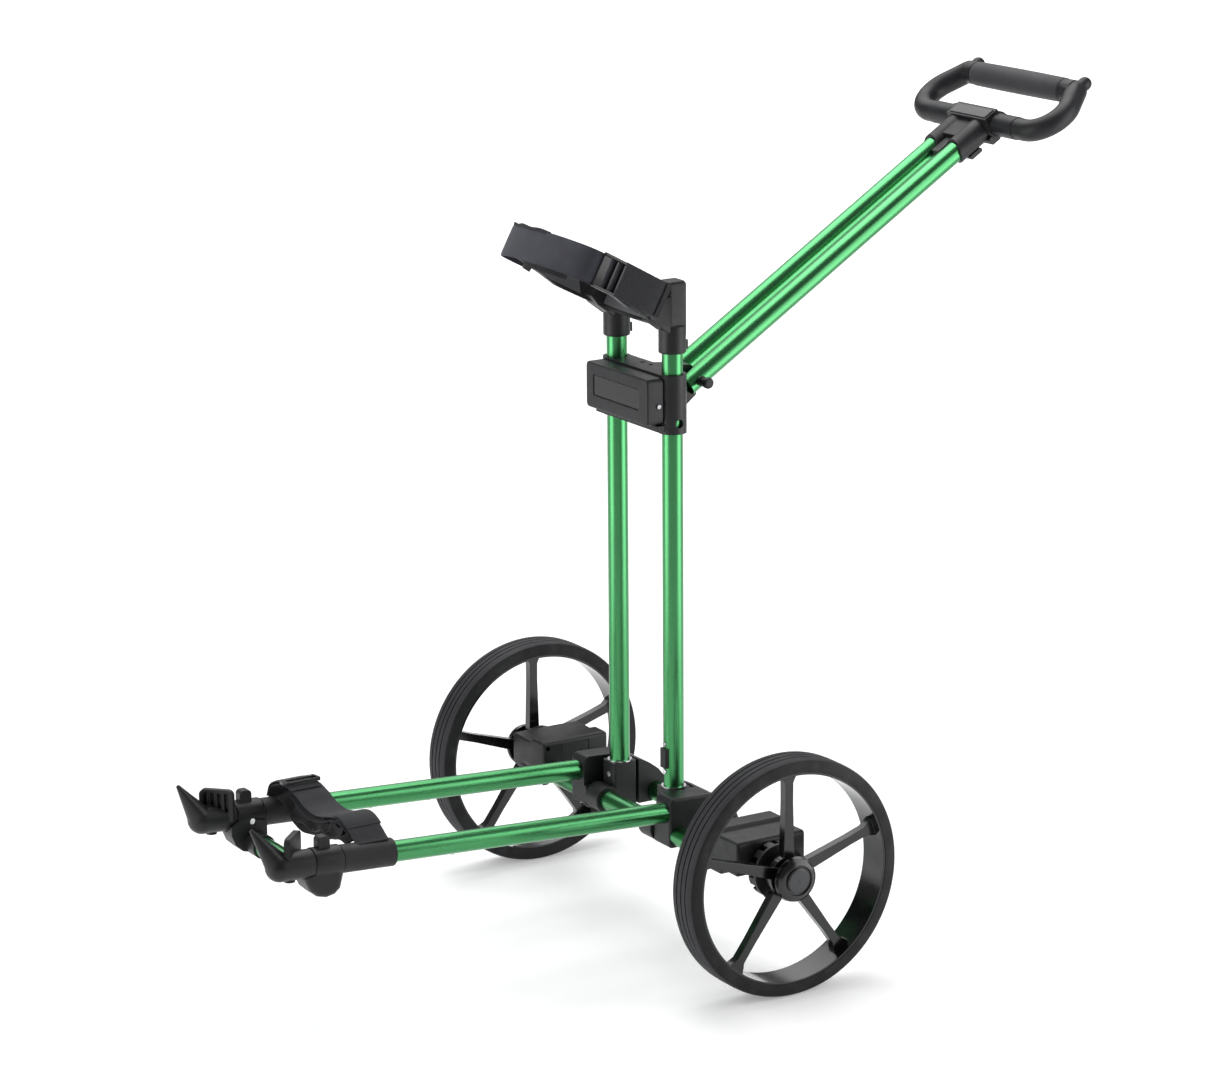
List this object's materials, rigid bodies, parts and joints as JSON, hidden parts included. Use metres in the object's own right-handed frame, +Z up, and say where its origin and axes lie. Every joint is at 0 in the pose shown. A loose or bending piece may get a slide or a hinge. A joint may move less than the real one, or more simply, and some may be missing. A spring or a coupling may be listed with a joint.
{
  "type": "golf push trolley",
  "caption": "Wheeled push trolley for a golf bag: folding tube frame, slider-mounted push handle with tilting grip, bag cradle and straps, foot-end bag hooks.",
  "frame": {"origin": "centre of the footprint on the ground under the wheels", "axes": "+X to the trolley's left-hand side seen from behind the handle turned forward, -Y forward towards the bag hooks, +Y back towards the push handle, +Z up"},
  "size_m": [0.6426, 1.1664, 1.0166],
  "materials": {
    "tube_green": "satin anodised bright green aluminium tube",
    "moulding_black": "fine-textured charcoal glass-filled nylon",
    "rim_black": "glossy black moulded rim and spokes",
    "tyre_black": "matte solid rubber tread with fine grooves",
    "cap_black": "semi-gloss hub cap",
    "badge_grey": "plain dark grey disc",
    "foam_black": "closed-cell foam with fine pores",
    "liner_black": "soft rubber pad lining",
    "label_plain": "plain moulded label plate",
    "webbing_black": "woven nylon webbing",
    "steel_bright": "bright zinc-plated steel",
    "steel_dark": "brushed steel"
  },
  "bodies": {
    "chassis": {"cross_tube_front": "tube_green", "cross_tube_rear": "tube_green", "carrier_panels": "moulding_black", "stub_axles": "steel_dark", "catch_pins": "steel_bright", "grip_sleeves": "foam_black", "cross_tube_foot": "moulding_black", "foot_screws": "steel_bright", "hook_screws": "moulding_black", "base_rivets": "steel_bright", "carrier_screws": "steel_bright", "lower_strap_top": "webbing_black", "lower_strap_under": "webbing_black", "base_tube_left": "tube_green", "base_tube_right": "tube_green", "wheel_carrier_left": "moulding_black", "wheel_carrier_right": "moulding_black", "joint_block_left": "moulding_black", "joint_block_right": "moulding_black", "front_foot_left": "moulding_black", "front_foot_right": "moulding_black", "bag_hook_left": "moulding_black", "bag_hook_right": "moulding_black"},
    "wheel_left": {"tyre_left": "tyre_black", "rim_left": "rim_black", "hub_cap_left": "cap_black", "hub_badge_left": "badge_grey", "lock_ring_left": "moulding_black"},
    "wheel_right": {"tyre_right": "tyre_black", "rim_right": "rim_black", "hub_cap_right": "cap_black", "hub_badge_right": "badge_grey", "lock_ring_right": "moulding_black"},
    "park_catch_left": {"park_catch_left": "moulding_black"},
    "park_catch_right": {"park_catch_right": "moulding_black"},
    "columns": {"column_foot_left": "moulding_black", "column_foot_right": "moulding_black", "column_left": "tube_green", "column_right": "tube_green", "column_washers": "steel_bright", "column_bumper": "moulding_black", "bumper_rivets": "steel_bright", "cradle_yoke": "moulding_black", "cradle_liner": "liner_black", "upper_strap": "webbing_black", "strap_wrap": "webbing_black", "block_screws": "steel_bright"},
    "slider": {"slider_body": "moulding_black", "slider_cover": "moulding_black", "slider_label": "label_plain", "cover_screws": "steel_dark"},
    "handle": {"handle_tube_left": "tube_green", "handle_tube_right": "tube_green", "handle_bolt": "steel_dark", "handle_bracket": "moulding_black", "bracket_label": "label_plain"},
    "handle_lock_knob": {"handle_lock_knob": "moulding_black"},
    "tilt_release": {"tilt_release": "moulding_black"},
    "grip": {"d_handle": "moulding_black", "foam_grip": "foam_black"}
  },
  "joints": [
    {"name": "wheel_left_spin", "type": "hinge", "parent": "chassis", "child": "wheel_left", "pos_m": [0.291, 0.01421, 0.145], "axis": [1, 0, 0], "continuous": true},
    {"name": "park_catch_left_swing", "type": "hinge", "parent": "chassis", "child": "park_catch_left", "pos_m": [0.245, 0.01421, 0.1312], "axis": [0, -1, 0], "range_deg": [0, 9]},
    {"name": "wheel_right_spin", "type": "hinge", "parent": "chassis", "child": "wheel_right", "pos_m": [-0.291, 0.01421, 0.145], "axis": [1, 0, 0], "continuous": true},
    {"name": "park_catch_right_swing", "type": "hinge", "parent": "chassis", "child": "park_catch_right", "pos_m": [-0.245, 0.01421, 0.1312], "axis": [0, 1, 0], "range_deg": [0, 9]},
    {"name": "column_fold", "type": "hinge", "parent": "chassis", "child": "columns", "pos_m": [0, -0.02079, 0.148], "axis": [1, 0, 0], "range_deg": [0, 87], "deforming": ["lower_strap_top", "lower_strap_under"]},
    {"name": "slider_travel", "type": "slide", "parent": "columns", "child": "slider", "axis": [0, 0, 1], "range_m": [-0.34, 0]},
    {"name": "handle_fold", "type": "hinge", "parent": "slider", "child": "handle", "pos_m": [0, 0.06201, 0.684], "axis": [-1, 0, 0], "range_deg": [0, 118]},
    {"name": "handle_lock_press", "type": "slide", "parent": "handle", "child": "handle_lock_knob", "axis": [-1, 0, 0], "range_m": [0, 0.0008], "stiffness_N_per_m": 900, "springref_m": -0.0002},
    {"name": "tilt_release_press", "type": "slide", "parent": "handle", "child": "tilt_release", "axis": [0, -0.5344, 0.8453], "range_m": [0, 0.0015], "stiffness_N_per_m": 900, "springref_m": -0.0004},
    {"name": "grip_tilt", "type": "hinge", "parent": "handle", "child": "grip", "pos_m": [0, 0.49309, 0.95652], "axis": [1, 0, 0], "range_deg": [-80, 80]}
  ]
}
